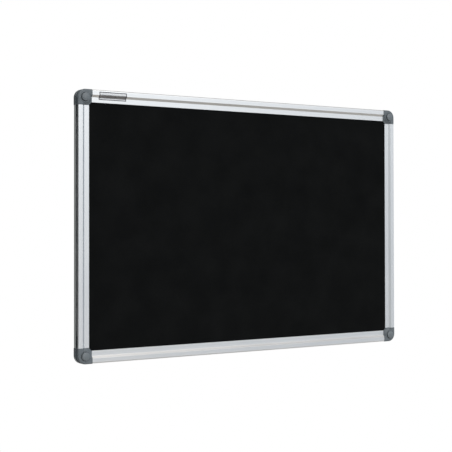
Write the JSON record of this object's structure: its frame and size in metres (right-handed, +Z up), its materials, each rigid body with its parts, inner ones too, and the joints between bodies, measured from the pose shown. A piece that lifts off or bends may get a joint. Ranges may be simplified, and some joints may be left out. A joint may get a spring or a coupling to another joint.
{
  "type": "fabric pin board",
  "caption": "Wall-hung pin board with a black felt face in a stepped satin aluminium frame, grey moulded corners and round caps over the wall screws.",
  "frame": {"origin": "centre of the four wall screws, in the plane of the wall behind the board", "axes": "+X along the width, +Y back towards the wall, +Z up; the felt face looks along -Y"},
  "size_m": [0.9012, 0.028, 0.6012],
  "materials": {
    "satin_aluminium": "satin anodised, drawn along the length",
    "corner_plastic": "slate grey, fine moulded grain",
    "cap_plastic": "slate grey, a little smoother than the corners",
    "black_felt": "short-pile pressed felt",
    "softboard": "raw pressed fibre",
    "galvanised_sheet": "thin galvanised sheet",
    "zinc_steel": "bright zinc plate",
    "label_film": "clear film over the rail with a dark printed outline"
  },
  "bodies": {
    "board": {"rail_top": "satin_aluminium", "rail_bottom": "satin_aluminium", "rail_left": "satin_aluminium", "rail_right": "satin_aluminium", "corner_top_left": "corner_plastic", "corner_top_right": "corner_plastic", "corner_bottom_left": "corner_plastic", "corner_bottom_right": "corner_plastic", "fabric_face": "black_felt", "softboard_core": "softboard", "backing_sheet": "galvanised_sheet", "label_film": "label_film", "frame_screw_top_left_level": "zinc_steel", "frame_screw_top_left_upright": "zinc_steel", "frame_screw_top_right_level": "zinc_steel", "frame_screw_top_right_upright": "zinc_steel", "frame_screw_bottom_left_level": "zinc_steel", "frame_screw_bottom_left_upright": "zinc_steel", "frame_screw_bottom_right_level": "zinc_steel", "frame_screw_bottom_right_upright": "zinc_steel"},
    "cap_top_left": {"screw_cap_top_left": "cap_plastic"},
    "cap_top_right": {"screw_cap_top_right": "cap_plastic"},
    "cap_bottom_left": {"screw_cap_bottom_left": "cap_plastic"},
    "cap_bottom_right": {"screw_cap_bottom_right": "cap_plastic"}
  },
  "joints": [
    {"name": "cap_pull_top_left", "type": "slide", "parent": "board", "child": "cap_top_left", "axis": [0, -1, 0], "range_m": [0, 0.03]},
    {"name": "cap_pull_top_right", "type": "slide", "parent": "board", "child": "cap_top_right", "axis": [0, -1, 0], "range_m": [0, 0.03]},
    {"name": "cap_pull_bottom_left", "type": "slide", "parent": "board", "child": "cap_bottom_left", "axis": [0, -1, 0], "range_m": [0, 0.03]},
    {"name": "cap_pull_bottom_right", "type": "slide", "parent": "board", "child": "cap_bottom_right", "axis": [0, -1, 0], "range_m": [0, 0.03]}
  ]
}
